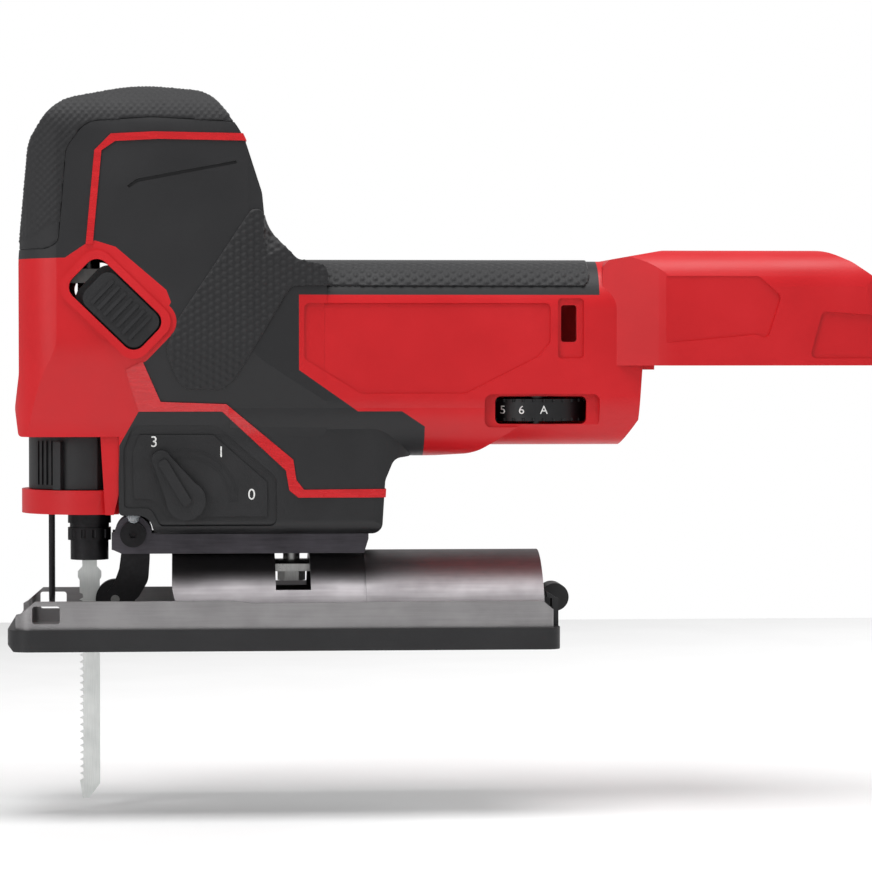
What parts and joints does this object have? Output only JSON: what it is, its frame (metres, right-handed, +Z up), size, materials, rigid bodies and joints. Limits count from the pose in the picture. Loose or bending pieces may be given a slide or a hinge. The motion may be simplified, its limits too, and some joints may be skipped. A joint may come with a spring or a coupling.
{
  "type": "jigsaw power tool",
  "caption": "Cordless body-grip jigsaw with bevelling shoe, reciprocating blade, pendulum roller and battery foot.",
  "frame": {"origin": "in the blade slot, on the plane of the sole, under the plunger's axis", "axes": "+X to the rear (battery end), +Z up along the plunger, -Y to the tool's left side"},
  "size_m": [0.3107, 0.0806, 0.2531],
  "materials": {
    "red_shell": "moulded glass-filled nylon, satin",
    "black_rubber": "soft overmould, fine texture",
    "red_trim": "thin moulded strip",
    "black_plastic": "moulded, spark texture",
    "screw_steel": "black oxide",
    "gear_steel": "cut and ground",
    "blade_steel": "satin",
    "bronze": "sintered",
    "cast_alloy": "die-cast",
    "lamination": "stacked sheet",
    "copper": "enamelled wire",
    "bearing_steel": "polished",
    "dial_black": "moulded",
    "board_green": "solder resist",
    "contact_brass": "plated",
    "lens_clear": "clear",
    "bracket_steel": "dark phosphate",
    "plate_steel": "pressed, satin"
  },
  "bodies": {
    "housing": {"housing_left": "red_shell", "housing_right": "red_shell", "head_cap": "black_rubber", "overmould_left": "black_rubber", "overmould_right": "black_rubber", "grip_strip_left": "black_rubber", "grip_strip_right": "black_rubber", "piping_left": "red_trim", "piping_right": "red_trim", "stripe_left": "red_trim", "stripe_right": "red_trim", "gear_cover_left": "black_plastic", "gear_cover_right": "black_plastic", "lower_case_left": "black_plastic", "lower_case_right": "black_plastic", "nose_core": "black_plastic", "nose_collar": "red_shell", "guard_wire": "screw_steel", "plunger_bushings": "bronze", "gear_frame": "cast_alloy", "gear_shaft": "gear_steel", "stator": "lamination", "windings": "copper", "motor_bearings": "bearing_steel", "arm_hanger": "cast_alloy", "arm_pivot_pin": "gear_steel", "dial_pin": "gear_steel", "control_board": "board_green", "terminal_block": "black_plastic", "battery_contacts": "contact_brass", "battery_rails": "black_plastic", "led_lens": "lens_clear", "housing_screws": "screw_steel", "bevel_bracket": "bracket_steel", "bracket_screws": "screw_steel", "clamp_bolt": "gear_steel", "clamp_plate": "gear_steel"},
    "plunger": {"plunger_rod": "gear_steel", "scotch_yoke": "gear_steel", "blade_clamp": "screw_steel", "blade": "blade_steel"},
    "crank_gear": {"main_gear": "gear_steel", "crank_pin": "gear_steel"},
    "rotor": {"rotor_shaft": "gear_steel", "rotor_core": "lamination", "fan": "black_plastic"},
    "pendulum": {"pendulum_arm": "screw_steel", "roller_pin": "gear_steel"},
    "roller": {"guide_roller": "screw_steel"},
    "orbit": {"orbit_selector": "black_plastic"},
    "release": {"release_lever": "black_plastic"},
    "switch_l": {"switch_left": "black_plastic"},
    "switch_r": {"switch_right": "black_plastic"},
    "dial": {"speed_dial": "dial_black"},
    "shoe": {"saddle": "plate_steel", "base_plate": "plate_steel", "overshoe": "black_plastic", "bevel_lever_pin": "gear_steel"},
    "bevel_lock": {"bevel_lever": "black_plastic"}
  },
  "joints": [
    {"name": "plunger_stroke", "type": "slide", "parent": "housing", "child": "plunger", "axis": [0, 0, 1], "range_m": [-0.007, 0.0184]},
    {"name": "gear_spin", "type": "hinge", "parent": "housing", "child": "crank_gear", "pos_m": [0.028, 0, 0.131], "axis": [1, 0, 0], "continuous": true},
    {"name": "motor_spin", "type": "hinge", "parent": "housing", "child": "rotor", "pos_m": [0.09, 0, 0.101], "axis": [1, 0, 0], "continuous": true},
    {"name": "pendulum_swing", "type": "hinge", "parent": "housing", "child": "pendulum", "pos_m": [0.0175, 0, 0.052], "axis": [0, 1, 0], "range_deg": [-4, 0]},
    {"name": "roller_spin", "type": "hinge", "parent": "pendulum", "child": "roller", "pos_m": [0.0092, 0, 0.0158], "axis": [0, 1, 0], "continuous": true},
    {"name": "orbit_turn", "type": "hinge", "parent": "housing", "child": "orbit", "pos_m": [0.0345, -0.0295, 0.0522], "axis": [0, 1, 0], "range_deg": [0, 121]},
    {"name": "release_turn", "type": "hinge", "parent": "housing", "child": "release", "pos_m": [0, 0, 0.065], "axis": [0, 0, 1], "range_deg": [-55, 0], "stiffness_Nm_per_rad": 0.05, "springref_deg": 11.46},
    {"name": "switch_left_slide", "type": "slide", "parent": "housing", "child": "switch_l", "axis": [-0.7193, 0, 0.6947], "range_m": [0, 0.0055]},
    {"name": "switch_right_slide", "type": "slide", "parent": "housing", "child": "switch_r", "axis": [-0.7193, 0, 0.6947], "range_m": [0, 0.0055]},
    {"name": "dial_turn", "type": "hinge", "parent": "housing", "child": "dial", "pos_m": [0.1598, -0.009, 0.0837], "axis": [0, 0, 1], "range_deg": [-131, 0]},
    {"name": "bevel_tilt", "type": "hinge", "parent": "housing", "child": "shoe", "pos_m": [0.07, 0, 0], "axis": [1, 0, 0], "range_deg": [-45, 45]},
    {"name": "bevel_lock_turn", "type": "hinge", "parent": "shoe", "child": "bevel_lock", "pos_m": [0.15, 0, 0.0115], "axis": [0, 0, 1], "range_deg": [0, 40]}
  ],
  "couplings": [
    {"joint": "motor_spin", "follows": "gear_spin", "ratio": -4},
    {"joint": "switch_right_slide", "follows": "switch_left_slide", "ratio": 1}
  ]
}
